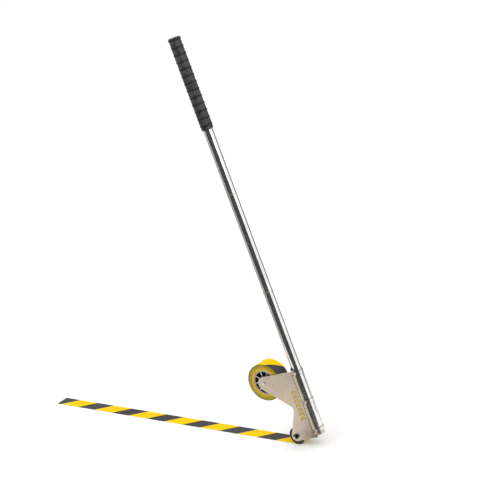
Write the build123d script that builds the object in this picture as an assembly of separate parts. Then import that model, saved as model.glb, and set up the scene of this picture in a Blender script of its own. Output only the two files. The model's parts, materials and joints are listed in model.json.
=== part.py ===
from build123d import *
import os
from math import asin, atan2, cos, degrees, hypot, radians, sin

# A hand-pushed machine that lays a striped marking tape on a floor. A reel of tape and a rubber
# press roller sit between two folded steel plates, which three two-part clamps hold to a pole.
#
# Every piece is drawn with the pole upright: X runs across the pole in the direction of travel,
# Y along the roller axles, Z up the pole, with the press roller's axle at the origin. The whole
# machine then leans back about that axle and stands on the floor, with its travel along +X.

# ---- overall sizes -------------------------------------------------------------------------
lean = 16.3  # the pole's lean from upright, degrees
tape_width = 50.0
tape_thickness = 0.25
laid_length = 960.0  # the tape that is already on the floor
lower_tube_length = 446.0
middle_tube_length = 314.0
upper_tube_length = 493.0

# ---- pole ----------------------------------------------------------------------------------
tube_diameter = 30.0
tube_wall = 1.5
press_clearance = 0.05
cut = 1.0  # how far a cutting tool runs past the face that it cuts
joint_ring_height = 4.0
joint_ring_step = 0.6
insert_length = 30.0
stud_diameter = 12.0
stud_length = 24.0
plug_head_length = 21.0
plug_groove_width = 2.0
plug_groove_depth = 1.2
plug_head_step = 0.2  # the plug's head, inside the tube's outer face
plug_round = 1.0
pole_end_drop = 12.0  # the pole's lower end, below the roller's axle

# ---- grip ----------------------------------------------------------------------------------
grip_length = 291.0
grip_wall = 3.6
grip_top_wall = 5.0
rib_count = 12
rib_height = 1.7
rib_width = 4.0
grip_collar = 11.0
grip_flange_step = 1.7
grip_flange_height = 10.5
grip_flange_round = 4.0
rib_slope = 0.8  # a rib's chamfer, as a share of its height

# ---- rollers and reel ----------------------------------------------------------------------
roller_diameter = 56.0
tyre_wall = 8.0
tyre_round = 1.5
roller_mouth_wall = 3.0  # the rims of the core round the hollow in each of its ends
roller_mouth_depth = 2.5
axle_tip_chamfer = 1.0
roller_axle_diameter = 8.0
bush_wall = 3.0
bush_length = 12.0
bush_flange = 1.0
bush_flange_step = 2.0
running_clearance = 0.05
side_play = 0.25
guide_diameter = 18.0
guide_wall = 2.0
guide_pin_diameter = 6.0
guide_overlap = 0.5  # the guide roller, past each edge of the tape
guide_chamfer = 0.5
roll_diameter = 120.0
core_bore = 76.0
core_wall = 3.0
core_clearance = 0.15
hub_width = 48.0
hub_rim_wall = 2.2
hub_web_thickness = 3.0
hub_boss_diameter = 25.0
spoke_count = 9
spoke_width = 3.2
spoke_inset = 1.5  # the spokes' edges, inside the rim's faces
spoke_turn = 16.0  # the first spoke, from the horizontal, degrees
reel_axle_diameter = 12.0
reel_thread_diameter = 8.0
reel_flange_diameter = 26.0
reel_flange_thickness = 1.8

# ---- plates --------------------------------------------------------------------------------
sheet = 2.5
tape_side_clearance = 2.5
bend_radius = 0.6
bend_land = 1.0  # flat sheet between a bend and the line where the bend's drawing begins
corner_radius = 3.0
pole_gap = 27.0  # between the press roller and the pole
roll_gap = 42.6  # between a full roll and the pole
guide_gap = 7.0  # between the guide roller and the pole
bay_height = 98.0  # between the press roller and a full roll
guide_drop = 11.0  # the guide roller, below the reel
nose_radius = 23.0
nose_forward = 1.6
nose_drop = 3.0
boss_radius = 16.0
neck_width = 39.0
neck_rise = 63.0  # the neck, above the press roller
neck_fillet = 14.0
bottom_rise = 3.0
foot_length = 10.0
foot_height = 9.5
foot_relief = 1.5
lip_gap = 1.0
rear_plate_width = 46.0
rear_plate_drop = 5.0
spacer_diameter = 10.0
spacer_tapping = 14.0

# ---- clamps --------------------------------------------------------------------------------
clamp_count = 3
clamp_inset = 12.0  # the top clamp, below the plates' top edge
clamp_rise = 6.5  # the bottom clamp, above the lips' lower ends
strap_width = 10.0
strap_thickness = 1.5
strap_gap = 0.1
ear_reach = 12.0
screw_offset = 7.0  # a clamp screw, from the tube's side
nut_room = 0.5
screw_proud = 1.5  # a clamp screw's end, past its nut
hexagon_corner = 0.58  # from a hexagon's centre to its corner, as a share of its width

# ---- fasteners -----------------------------------------------------------------------------
m5_diameter = 5.0
m5_head_diameter = 9.5
m5_head_height = 3.4
m5_nut_width = 8.0
m5_nut_height = 4.7
m6_diameter = 6.0
m6_head_diameter = 10.5
m6_head_height = 3.3
m6_depth = 16.5
m8_nut_width = 13.0
m8_nut_height = 8.0
m8_head_height = 5.3
m8_flange_step = 1.5
m8_flange_height = 1.5
m8_nut_round = 2.0
m8_thread_proud = 4.5
hole_clearance = 0.2
screw_end_gap = 2.0  # between a screw's end and the bottom of its tapped hole
thread_chamfer = 0.7
drive_width = 3.0
drive_slot = 0.9
drive_depth = 1.6
head_round = 0.55  # a pan head's rounding, as a share of its height
washer_thickness = 1.0
washer_clearance = 0.3
washer_step = 1.0  # a washer's edge, inside the flange that it bears on
disc_spring_diameter = 18.0
disc_spring_rise = 0.7
disc_spring_count = 3
thumb_nut_diameter = 26.0
thumb_nut_height = 9.0
thumb_nut_flutes = 18
flute_diameter = 2.6
flute_offset = 0.5
thumb_nut_chamfer = 0.8
web_gap = 0.3  # between the moving tape and what turns under it
web_wrap = 24.0  # degrees of the roll that the leaving tape still follows

# ---- places that follow from the sizes -----------------------------------------------------
tube_r = tube_diameter / 2
roller_r = roller_diameter / 2
guide_r = guide_diameter / 2
roll_r = roll_diameter / 2
pole_x = roller_r + pole_gap + tube_r
reel_x = pole_x - tube_r - roll_gap - roll_r
reel_z = roller_r + bay_height + roll_r
guide_x = pole_x - tube_r - guide_gap - guide_r
guide_z = reel_z - guide_drop
plate_top = reel_z - nose_drop + nose_radius
neck_x = pole_x - neck_width
neck_z = roller_r + neck_rise
foot_top = foot_height - boss_radius + bottom_rise
lip_bottom = foot_top + foot_relief
screw_y = tube_r + screw_offset
half_gap = max(tape_width / 2 + tape_side_clearance, screw_y + m5_nut_width * hexagon_corner + nut_room)
plate_y = half_gap + sheet
spacer_x = neck_x
spacer_z = (neck_z + guide_z) / 2
clamp_low = lip_bottom + clamp_rise
clamp_high = plate_top - clamp_inset
clamp_heights = [clamp_low + i * (clamp_high - clamp_low) / (clamp_count - 1) for i in range(clamp_count)]
pole_bottom = -pole_end_drop
lower_tube_z = pole_bottom + plug_head_length + plug_groove_width
first_joint_z = lower_tube_z + lower_tube_length
middle_tube_z = first_joint_z + joint_ring_height
second_joint_z = middle_tube_z + middle_tube_length
upper_tube_z = second_joint_z + joint_ring_height
pole_top = upper_tube_z + upper_tube_length
grip_z = pole_top + grip_top_wall - grip_length
insert_diameter = tube_diameter - 2 * tube_wall - 2 * press_clearance
disc_spring_height = disc_spring_count * washer_thickness + disc_spring_rise
axle_height = roller_r + web_gap + tape_thickness
standing = Location((0, 0, axle_height), (0, -lean, 0))

LOW = (Align.CENTER, Align.CENTER, Align.MIN)


# ---- helpers -------------------------------------------------------------------------------
def slab(face, y_low, y_high):
    """A flat outline in X and Z, given a thickness along Y."""
    return extrude(Plane.XZ.offset(-y_high) * face, y_high - y_low)


def disc(diameter, y_low, y_high, x=0.0, z=0.0):
    """A round bar along Y."""
    return slab(Pos(x, z) * Circle(diameter / 2), y_low, y_high)


def tube_along_y(outer, inner, y_low, y_high, x=0.0, z=0.0):
    return disc(outer, y_low, y_high, x, z) - disc(inner, y_low - cut, y_high + cut, x, z)


def upright(diameter, z_low, z_high):
    """A round bar along the pole."""
    return Pos(pole_x, 0, z_low) * Cylinder(diameter / 2, z_high - z_low, align=LOW)


def along_x(diameter, x_low, x_high, y, z):
    """A round bar across the plates' lips."""
    return Pos(x_low, y, z) * Rot(0, 90, 0) * Cylinder(diameter / 2, x_high - x_low, align=LOW)


def hexagon_along_y(width, y_low, y_high, x=0.0, z=0.0):
    return slab(Pos(x, z) * RegularPolygon(width / 2, 6, major_radius=False), y_low, y_high)


def outline(*circles):
    """The outline of a string stretched round circles, each (x, z, radius)."""
    edges = ShapeList()
    for x, z, radius in circles:
        edges += (Pos(x, z) * Circle(radius)).edges()
    return make_hull(edges)


def pan_head(diameter, height):
    """A screw head with a domed top and a cross recess, seated on Z = 0."""
    head = Cylinder(diameter / 2, height, align=LOW)
    head = fillet(head.edges().sort_by(Axis.Z)[-1], height * head_round)
    slot = Pos(0, 0, height) * Box(drive_width, drive_slot, 2 * drive_depth)
    return head - slot - Rot(0, 0, 90) * slot


def group(shapes):
    return Compound(children=list(shapes))


# ---- plates --------------------------------------------------------------------------------
fold = sheet + bend_radius
flat_edge = pole_x - fold - bend_land


def folded_lip(side, z_low, z_high):
    """The edge of a plate, folded in towards the pole along a straight bend."""
    lip_reach = plate_y - tube_r - lip_gap
    web = Pos(flat_edge, plate_y) * Rectangle(fold + bend_land, sheet, align=(Align.MIN, Align.MAX))
    flange = Pos(pole_x, plate_y) * Rectangle(sheet, lip_reach, align=(Align.MAX, Align.MAX))
    section = web + flange
    section = fillet(section.vertices().sort_by_distance((pole_x, plate_y))[0], fold)
    section = fillet(section.vertices().sort_by_distance((pole_x - sheet, half_gap))[0], bend_radius)
    strip = Pos(0, 0, z_low) * extrude(section, z_high - z_low)
    return strip if side > 0 else mirror(strip, Plane.XZ)


def beside_fold(z_low, z_high):
    """The part of a flat outline that the fold takes the place of."""
    return Pos(flat_edge, z_low) * Rectangle(4 * fold, z_high - z_low, align=(Align.MIN, Align.MIN))


def clamp_holes(side):
    diameter = m5_diameter + 2 * hole_clearance
    return [
        along_x(diameter, pole_x - 2 * sheet, pole_x + sheet, side * screw_y, z) for z in clamp_heights
    ]


def front_side_plate():
    neck = (neck_x + corner_radius, neck_z, corner_radius)
    arm = outline(
        (reel_x + nose_forward, reel_z - nose_drop, nose_radius),
        (pole_x, plate_top - corner_radius, corner_radius),
        (pole_x, neck_z, corner_radius),
        neck,
    )
    foot_end = pole_x + foot_length
    bottom = bottom_rise - boss_radius
    leg = outline(
        (0, 0, boss_radius),
        neck,
        (pole_x, neck_z, corner_radius),
        (pole_x, foot_top - corner_radius, corner_radius),
        (foot_end - corner_radius, foot_top - corner_radius, corner_radius),
        (foot_end - corner_radius, bottom + corner_radius, corner_radius),
    )
    face = arm + leg - beside_fold(foot_top, plate_top + cut)
    face = fillet(face.vertices().sort_by_distance((neck_x, neck_z))[0], neck_fillet)
    plate = slab(face, -plate_y, -half_gap) + folded_lip(-1, lip_bottom, plate_top)
    for hole in clamp_holes(-1):
        plate -= hole
    plate -= disc(roller_axle_diameter + 2 * hole_clearance, -plate_y - cut, -half_gap + cut)
    return plate - disc(m6_diameter + 2 * hole_clearance, -plate_y - cut, -half_gap + cut, reel_x, reel_z)


def rear_side_plate():
    """A narrow plate behind the pole that widens only at the press roller's axle."""
    left = pole_x - rear_plate_width + corner_radius
    top = plate_top - rear_plate_drop
    strip = outline(
        (left, top - corner_radius, corner_radius),
        (pole_x, top - corner_radius, corner_radius),
        (pole_x, lip_bottom + corner_radius, corner_radius),
        (left, lip_bottom + corner_radius, corner_radius),
    )
    leg = outline(
        (0, 0, boss_radius),
        (left, neck_z, corner_radius),
        (pole_x, neck_z, corner_radius),
        (pole_x, lip_bottom + corner_radius, corner_radius),
    )
    face = strip + leg - beside_fold(lip_bottom - boss_radius, top + cut)
    plate = slab(face, half_gap, plate_y) + folded_lip(1, lip_bottom, top)
    for hole in clamp_holes(1):
        plate -= hole
    small = m5_diameter + 2 * hole_clearance
    plate -= disc(roller_axle_diameter + 2 * hole_clearance, half_gap - cut, plate_y + cut)
    plate -= disc(small, half_gap - cut, plate_y + cut, guide_x, guide_z)
    return plate - disc(small, half_gap - cut, plate_y + cut, spacer_x, spacer_z)


def plate_spacer():
    """A post welded inside the front plate, tapped at its rear end."""
    post = disc(spacer_diameter, -half_gap, half_gap, spacer_x, spacer_z)
    return post - disc(m5_diameter, half_gap - spacer_tapping, half_gap + cut, spacer_x, spacer_z)


def plate_spacer_screw():
    shank = disc(m5_diameter - 2 * press_clearance, half_gap - spacer_tapping + screw_end_gap, plate_y)
    head = Pos(0, plate_y, 0) * Rot(-90, 0, 0) * pan_head(m5_head_diameter, m5_head_height)
    return Pos(spacer_x, 0, spacer_z) * (shank + head)


# ---- clamps --------------------------------------------------------------------------------
def half_strap(side):
    """Half of a clamp: a half ring round the tube with an ear along each lip."""
    seat = pole_x if side > 0 else pole_x - sheet
    inner = tube_r + strap_gap
    outer = inner + strap_thickness
    ring = Pos(pole_x, 0) * (Circle(outer) - Circle(inner))
    outwards = Align.MIN if side > 0 else Align.MAX
    keep = Pos(seat, 0) * Rectangle(4 * outer, 4 * outer, align=(outwards, Align.CENTER))
    ear = Rectangle(strap_thickness, ear_reach, align=(outwards, Align.MIN))
    ears = Pos(seat, inner) * ear + Pos(seat, -inner - ear_reach) * ear
    band = extrude(ring & keep, strap_width / 2, both=True) + extrude(ears, strap_width / 2, both=True)
    for y in (screw_y, -screw_y):
        hole = along_x(m5_diameter + 2 * hole_clearance, seat - 2 * sheet, seat + 2 * sheet, y, 0)
        band -= hole
    short = band.edges().filter_by(Axis.X).group_by(SortBy.LENGTH)[0]
    ends = short.group_by(lambda edge: round(abs(edge.center().Y), 2))[-1]
    return fillet(ends, corner_radius)


def clamp_straps(side):
    band = half_strap(side)
    return group(Pos(0, 0, z) * band for z in clamp_heights)


def clamp_screws():
    head_x = pole_x + strap_thickness
    length = head_x - (pole_x - sheet - strap_thickness - m5_nut_height - screw_proud)
    head = Pos(head_x, 0, 0) * Rot(0, 90, 0) * pan_head(m5_head_diameter, m5_head_height)
    screw = head + along_x(m5_diameter, head_x - length, head_x, 0, 0)
    return group(Pos(0, y, z) * screw for z in clamp_heights for y in (screw_y, -screw_y))


def clamp_nuts():
    face_x = pole_x - sheet - strap_thickness
    body = extrude(RegularPolygon(m5_nut_width / 2, 6, major_radius=False), m5_nut_height)
    body -= Cylinder(m5_diameter / 2 + press_clearance, 3 * m5_nut_height)
    nut = Pos(face_x, 0, 0) * Rot(0, -90, 0) * body
    return group(Pos(0, y, z) * nut for z in clamp_heights for y in (screw_y, -screw_y))


# ---- pole ----------------------------------------------------------------------------------
def pole_tube(z_low, length):
    bore = tube_diameter - 2 * tube_wall
    return upright(tube_diameter, z_low, z_low + length) - upright(bore, z_low - cut, z_low + length + cut)


def joint_socket(z):
    """The flanged insert in the top of a section: its flange is the ring seen from outside."""
    flange = upright(tube_diameter + 2 * joint_ring_step, z, z + joint_ring_height)
    flange = fillet(flange.edges().filter_by(GeomType.CIRCLE), joint_ring_step)
    body = flange + upright(insert_diameter, z - insert_length, z)
    bore = stud_diameter + 2 * press_clearance
    return body - upright(bore, z - insert_length - cut, z + joint_ring_height + cut)


def joint_stud(z):
    """The plug in the foot of the next section, with the stud that screws into the socket."""
    base = z + joint_ring_height
    plug = upright(insert_diameter, base, base + insert_length)
    return plug + upright(stud_diameter, base - stud_length, base)


def pole_end_plug():
    head = upright(tube_diameter - 2 * plug_head_step, pole_bottom, pole_bottom + plug_head_length)
    head = fillet(head.edges().sort_by(Axis.Z)[0], plug_round)
    neck = upright(tube_diameter - 2 * plug_groove_depth, pole_bottom + plug_head_length, lower_tube_z)
    return head + neck + upright(insert_diameter, lower_tube_z, lower_tube_z + insert_length)


def handle_grip():
    """A ribbed rubber sleeve, closed at the top, pulled over the end of the pole."""
    body_r = tube_r + grip_wall
    top = grip_z + grip_length
    sleeve = upright(2 * body_r, grip_z, top)
    flange = upright(2 * (body_r + grip_flange_step), top - grip_flange_height, top)
    flange = fillet(flange.edges().sort_by(Axis.Z)[-1], grip_flange_round)
    pitch = (grip_length - grip_collar - grip_flange_height) / rib_count
    rib_r = body_r + rib_height
    rib = Cylinder(rib_r, rib_width, align=LOW)
    rib = chamfer(rib.edges().filter_by(GeomType.CIRCLE), rib_height * rib_slope)
    grip = sleeve + flange
    for i in range(rib_count):
        grip += Pos(pole_x, 0, grip_z + grip_collar + i * pitch) * rib
    return grip - upright(tube_diameter, grip_z - cut, pole_top)


# ---- press roller --------------------------------------------------------------------------
half_tape = tape_width / 2
bush_seat = roller_axle_diameter + 2 * running_clearance + 2 * bush_wall
roller_core_diameter = roller_diameter - 2 * tyre_wall


def roller_tyre():
    tyre = disc(roller_diameter, -half_tape, half_tape)
    tyre = fillet(tyre.edges().filter_by(GeomType.CIRCLE), tyre_round)
    return tyre - disc(roller_core_diameter, -half_tape - cut, half_tape + cut)


def roller_core():
    core = tube_along_y(roller_core_diameter, bush_seat, -half_tape, half_tape)
    outer = roller_core_diameter - 2 * roller_mouth_wall
    inner = bush_seat + 2 * roller_mouth_wall
    mouth = tube_along_y(outer, inner, half_tape - roller_mouth_depth, half_tape + cut)
    return core - mouth - mirror(mouth, Plane.XZ)


def flanged_bush(bore, seat, flange, length, y_face):
    """A bush that goes into a hub from its +Y side, with its flange outside."""
    body = disc(seat, y_face - length, y_face) + disc(flange, y_face, y_face + bush_flange)
    return body - disc(bore, y_face - length - cut, y_face + bush_flange + cut)


def both_ends(piece):
    return group([piece, mirror(piece, Plane.XZ)])


def roller_bushes():
    bore = roller_axle_diameter + 2 * running_clearance
    flange = bush_seat + 2 * bush_flange_step
    return both_ends(flanged_bush(bore, bush_seat, flange, bush_length, half_tape))


def roller_spacers():
    inner = half_tape + bush_flange + side_play
    bore = roller_axle_diameter + 2 * running_clearance
    return both_ends(tube_along_y(bush_seat + bush_flange_step, bore, inner, half_gap))


def roller_axle():
    head = hexagon_along_y(m8_nut_width, plate_y, plate_y + m8_head_height)
    tip = -plate_y - m8_nut_height - m8_thread_proud
    shank = disc(roller_axle_diameter, tip, plate_y)
    shank = chamfer(shank.edges().sort_by(Axis.Y)[0], axle_tip_chamfer)
    return shank + head


def roller_axle_nut():
    """A hexagon nut with a round flange against the plate."""
    top = -plate_y - m8_nut_height
    flange_top = -plate_y - m8_flange_height
    flange_diameter = m8_nut_width + 2 * m8_flange_step
    nut = disc(flange_diameter, flange_top, -plate_y) + hexagon_along_y(m8_nut_width, top, flange_top)
    envelope = disc(flange_diameter, top, -plate_y)
    nut &= fillet(envelope.edges().sort_by(Axis.Y)[0], m8_nut_round)
    return nut - disc(roller_axle_diameter + 2 * press_clearance, top - cut, -plate_y + cut)


# ---- reel ----------------------------------------------------------------------------------
hub_diameter = core_bore - 2 * core_clearance
half_hub = hub_width / 2
reel_bush_seat = reel_axle_diameter + 2 * running_clearance + 2 * bush_wall


def at_reel(shape):
    return Pos(reel_x, 0, reel_z) * shape


def reel_hub():
    """A moulded hub: a rim and a boss joined by a ring of spokes and, halfway along, a thin web."""
    rim_r = hub_diameter / 2 - hub_rim_wall
    boss = tube_along_y(hub_boss_diameter, reel_bush_seat, -half_hub, half_hub)
    spoke = Pos(rim_r / 2, 0) * Rectangle(rim_r, spoke_width)
    spokes = [Rot(0, 0, spoke_turn + i * 360 / spoke_count) * spoke for i in range(spoke_count)]
    star = Sketch() + spokes + Circle(hub_boss_diameter / 2)
    star &= Circle(rim_r + hub_rim_wall / 2)
    ribs = slab(star - Circle(reel_bush_seat / 2), -half_hub + spoke_inset, half_hub - spoke_inset)
    half_web = hub_web_thickness / 2
    web = tube_along_y(2 * rim_r + hub_rim_wall, reel_bush_seat, -half_web, half_web)
    rim = tube_along_y(hub_diameter, 2 * rim_r, -half_hub, half_hub)
    return at_reel(rim + boss + ribs + web)


def reel_bushes():
    bore = reel_axle_diameter + 2 * running_clearance
    ends = tube_along_y(reel_bush_seat, bore, half_hub - bush_length, half_hub)
    return at_reel(both_ends(ends))


def tape_core():
    return at_reel(tube_along_y(core_bore + 2 * core_wall, core_bore, -half_tape, half_tape))


def tape_roll():
    return at_reel(tube_along_y(roll_diameter, core_bore + 2 * core_wall, -half_tape, half_tape))


def reel_axle():
    """A stub with a flange against the front plate and a thread for the thumb nut behind the hub."""
    shaft_end = half_hub + side_play
    flange = disc(reel_flange_diameter, -half_gap, -half_gap + reel_flange_thickness)
    shaft = disc(reel_axle_diameter, -half_gap, shaft_end)
    thread_end = shaft_end + thumb_nut_height + 2 * washer_thickness + disc_spring_height + screw_end_gap
    thread = disc(reel_thread_diameter, shaft_end, thread_end)
    thread = chamfer(thread.edges().sort_by(Axis.Y)[-1], thread_chamfer)
    tapped = disc(m6_diameter, -half_gap - cut, -plate_y + m6_depth + screw_end_gap)
    return at_reel(flange + shaft + thread - tapped)


def reel_axle_screw():
    shank = disc(m6_diameter - 2 * press_clearance, -plate_y, -plate_y + m6_depth)
    head = Pos(0, -plate_y, 0) * Rot(90, 0, 0) * pan_head(m6_head_diameter, m6_head_height)
    return at_reel(shank + head)


def reel_friction_washer():
    """A felt ring that drags on the hub, so that the reel stops when the machine does."""
    low = -half_gap + reel_flange_thickness
    high = -half_hub - side_play
    outer = reel_flange_diameter - 2 * washer_step
    return at_reel(tube_along_y(outer, reel_axle_diameter + 2 * washer_clearance, low, high))


def reel_thrust_washer():
    low = half_hub + side_play
    outer = reel_flange_diameter - 2 * washer_step
    bore = reel_thread_diameter + 2 * washer_clearance
    return at_reel(tube_along_y(outer, bore, low, low + washer_thickness))


def reel_disc_springs():
    """Coned spring washers, nested one on the next."""
    low = half_hub + side_play + washer_thickness
    bore_r = reel_thread_diameter / 2 + washer_clearance
    outer_r = disc_spring_diameter / 2
    springs = []
    for i in range(disc_spring_count):
        base = low + i * washer_thickness
        inner_base = base + disc_spring_rise
        section = Polyline(
            (outer_r, base),
            (outer_r, base + washer_thickness),
            (bore_r, inner_base + washer_thickness),
            (bore_r, inner_base),
            close=True,
        )
        springs.append(revolve(make_face(section), Axis.Y))
    return at_reel(group(springs))


def reel_thumb_nut():
    low = half_hub + side_play + washer_thickness + disc_spring_height
    nut = disc(thumb_nut_diameter, low, low + thumb_nut_height)
    nut = chamfer(nut.edges().filter_by(GeomType.CIRCLE), thumb_nut_chamfer)
    high = low + thumb_nut_height
    flute = disc(flute_diameter, low - cut, high + cut, thumb_nut_diameter / 2 + flute_offset)
    for i in range(thumb_nut_flutes):
        nut -= Rot(0, i * 360 / thumb_nut_flutes, 0) * flute
    return at_reel(nut - disc(reel_thread_diameter + 2 * press_clearance, low - cut, high + cut))


# ---- guide roller --------------------------------------------------------------------------
def at_guide(shape):
    return Pos(guide_x, 0, guide_z) * shape


guide_half = half_tape + guide_overlap
guide_bore = guide_diameter - 2 * guide_wall


def guide_roller_sleeve():
    sleeve = disc(guide_diameter, -guide_half, guide_half)
    sleeve = chamfer(sleeve.edges().filter_by(GeomType.CIRCLE), guide_chamfer)
    return at_guide(sleeve - disc(guide_bore, -guide_half - cut, guide_half + cut))


def guide_bushes():
    bore = guide_pin_diameter + 2 * running_clearance
    return at_guide(both_ends(tube_along_y(guide_bore, bore, guide_half - bush_length, guide_half)))


def guide_washers():
    bore = guide_pin_diameter + 2 * running_clearance
    return at_guide(both_ends(tube_along_y(guide_bore, bore, guide_half + side_play, half_gap)))


def guide_pin():
    """A pin welded inside the front plate, with a thread through the rear one."""
    end = plate_y + m5_nut_height + screw_proud
    pin = disc(guide_pin_diameter, -half_gap, half_gap)
    thread = disc(m5_diameter, half_gap, end)
    thread = chamfer(thread.edges().sort_by(Axis.Y)[-1], thread_chamfer)
    return at_guide(pin + thread)


def guide_pin_nut():
    top = plate_y + m5_nut_height
    nut = hexagon_along_y(m5_nut_width, plate_y, top)
    return at_guide(nut - disc(m5_diameter + 2 * press_clearance, plate_y - cut, top + cut))


# ---- tape ----------------------------------------------------------------------------------
def polar(x, z, radius, angle):
    return (x + radius * cos(radians(angle)), z + radius * sin(radians(angle)))


def tape_web():
    """The tape from the roll, over the guide roller and down round the press roller to the floor."""
    middle = web_gap + tape_thickness / 2
    half = tape_thickness / 2
    to_guide = degrees(atan2(guide_z - reel_z, guide_x - reel_x))
    span = hypot(guide_x - reel_x, guide_z - reel_z)
    leave = to_guide + degrees(asin((roll_r + guide_r + 2 * middle) / span)) - 90
    down = degrees(atan2(-guide_z, -guide_x))
    contact = down + degrees(asin((roller_r - guide_r) / hypot(guide_x, guide_z))) + 90
    touch_down = -90 - lean

    def side(sign):
        """One face of the tape: sign is 1 for the face that ends on the floor."""
        reel = roll_r + middle - sign * half
        guide = guide_r + middle + sign * half
        press = roller_r + middle + sign * half
        at_guide_middle = (leave + 180 + contact) / 2
        at_press_middle = (contact + touch_down) / 2
        return (
            [polar(reel_x, reel_z, reel, leave - web_wrap * (1 - k / 2)) for k in range(3)],
            [polar(guide_x, guide_z, guide, a) for a in (leave + 180, at_guide_middle, contact)],
            [polar(0, 0, press, a) for a in (contact, at_press_middle, touch_down)],
        )

    edges = []
    for face in (side(1), side(-1)):
        for arc in face:
            edges.append(ThreePointArc(*arc))
        for first, second in zip(face, face[1:]):
            edges.append(Line(first[-1], second[0]))
    outer, inner = side(1), side(-1)
    edges.append(Line(outer[0][0], inner[0][0]))
    edges.append(Line(outer[-1][-1], inner[-1][-1]))
    return slab(make_face(edges), -half_tape, half_tape)


def laid_tape():
    """The tape on the floor behind the press roller, placed with the machine already standing."""
    return Box(laid_length, tape_width, tape_thickness, align=(Align.MAX, Align.CENTER, Align.MIN))


# ---- build ---------------------------------------------------------------------------------
leaning = {
    "front_side_plate": front_side_plate(),
    "rear_side_plate": rear_side_plate(),
    "plate_spacer": plate_spacer(),
    "plate_spacer_screw": plate_spacer_screw(),
    "clamp_straps_outer": clamp_straps(1),
    "clamp_straps_inner": clamp_straps(-1),
    "clamp_screws": clamp_screws(),
    "clamp_nuts": clamp_nuts(),
    "pole_tube_lower": pole_tube(lower_tube_z, lower_tube_length),
    "pole_tube_middle": pole_tube(middle_tube_z, middle_tube_length),
    "pole_tube_upper": pole_tube(upper_tube_z, upper_tube_length),
    "pole_joint_socket_low": joint_socket(first_joint_z),
    "pole_joint_socket_high": joint_socket(second_joint_z),
    "pole_joint_stud_low": joint_stud(first_joint_z),
    "pole_joint_stud_high": joint_stud(second_joint_z),
    "pole_end_plug": pole_end_plug(),
    "handle_grip": handle_grip(),
    "roller_tyre": roller_tyre(),
    "roller_core": roller_core(),
    "roller_bushes": roller_bushes(),
    "roller_spacers": roller_spacers(),
    "roller_axle": roller_axle(),
    "roller_axle_nut": roller_axle_nut(),
    "reel_hub": reel_hub(),
    "reel_bushes": reel_bushes(),
    "tape_core": tape_core(),
    "tape_roll": tape_roll(),
    "reel_axle": reel_axle(),
    "reel_axle_screw": reel_axle_screw(),
    "reel_friction_washer": reel_friction_washer(),
    "reel_thrust_washer": reel_thrust_washer(),
    "reel_disc_springs": reel_disc_springs(),
    "reel_thumb_nut": reel_thumb_nut(),
    "guide_roller_sleeve": guide_roller_sleeve(),
    "guide_bushes": guide_bushes(),
    "guide_washers": guide_washers(),
    "guide_pin": guide_pin(),
    "guide_pin_nut": guide_pin_nut(),
    "tape_web": tape_web(),
}

os.makedirs("parts", exist_ok=True)
for name, shape in leaning.items():
    export_step(standing * shape, f"parts/{name}.step")
export_step(laid_tape(), "parts/laid_tape.step")
print(len(leaning) + 1, "sub-parts, pole top", round(pole_top, 1), "axle height", round(axle_height, 2))
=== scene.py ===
# %% [markdown]
# # A hand-pushed floor tape applicator
#
# The machine is a steel pole with a pair of folded plates clamped to its foot. Between the plates sit a
# reel of striped tape, a small guide roller and a rubber press roller. The CAD model already has every
# piece at its true size and place, so this lesson is about looks: finishes, light, and the few pieces
# whose shape is easier to make as a mesh.

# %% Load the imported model
import json
from math import asin, atan2, ceil, cos, pi, radians, sin

import bmesh
import bpy
from mathutils import Matrix, Vector


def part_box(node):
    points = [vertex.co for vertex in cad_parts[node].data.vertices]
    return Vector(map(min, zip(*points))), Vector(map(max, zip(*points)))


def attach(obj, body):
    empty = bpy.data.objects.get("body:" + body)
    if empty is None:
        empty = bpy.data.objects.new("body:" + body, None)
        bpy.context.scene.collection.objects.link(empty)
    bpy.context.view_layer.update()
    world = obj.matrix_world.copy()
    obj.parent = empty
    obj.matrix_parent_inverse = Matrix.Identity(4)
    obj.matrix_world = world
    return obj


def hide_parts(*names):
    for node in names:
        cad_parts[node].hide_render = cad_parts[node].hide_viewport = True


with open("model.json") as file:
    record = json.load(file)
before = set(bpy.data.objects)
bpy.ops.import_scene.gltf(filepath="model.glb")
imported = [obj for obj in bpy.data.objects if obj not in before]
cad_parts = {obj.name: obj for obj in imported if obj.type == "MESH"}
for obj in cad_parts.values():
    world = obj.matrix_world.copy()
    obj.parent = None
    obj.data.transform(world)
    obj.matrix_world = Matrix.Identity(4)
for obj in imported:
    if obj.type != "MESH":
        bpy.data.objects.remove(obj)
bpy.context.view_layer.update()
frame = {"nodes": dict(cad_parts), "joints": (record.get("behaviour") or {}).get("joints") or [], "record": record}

record = frame["record"]

# %% [markdown]
# ## The pole's own directions
#
# The whole machine leans back about the press roller's axle. Many pieces are easier to place in axes that
# lean with it: across the pole, along the axles, and up the pole. A matrix built from the grip's mount,
# which lies on the pole's centre line, turns those leaning places into places in the room.

# %% The leaning axes
grip_mount = next(mount for mount in record["mounts"] if mount["name"] == "handle_grip")
joint_places = {joint["name"]: Vector(joint["pos_m"]) for joint in frame["joints"]}
press_centre = joint_places["press_roller_spin"]
reel_centre = joint_places["reel_spin"]
guide_centre = joint_places["guide_roller_spin"]

up_pole = Vector(grip_mount["axis"]).normalized()
along_axle = Vector((0, 1, 0))
across_pole = along_axle.cross(up_pole)
lean = asin(-up_pole.x)
leaning = Matrix.Translation(press_centre) @ Matrix((across_pole, along_axle, up_pole)).transposed().to_4x4()
pole_offset = (leaning.inverted() @ Vector(grip_mount["pos_m"])).x
pole_foot = leaning @ Vector((pole_offset, 0, 0))


def pole_box(node):
    """A node's lowest and highest corner, measured in the leaning axes."""
    to_leaning = leaning.inverted()
    places = [to_leaning @ vertex.co for vertex in frame["nodes"][node].data.vertices]
    low = Vector(min(place[axis] for place in places) for axis in range(3))
    high = Vector(max(place[axis] for place in places) for axis in range(3))
    return low, high


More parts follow.
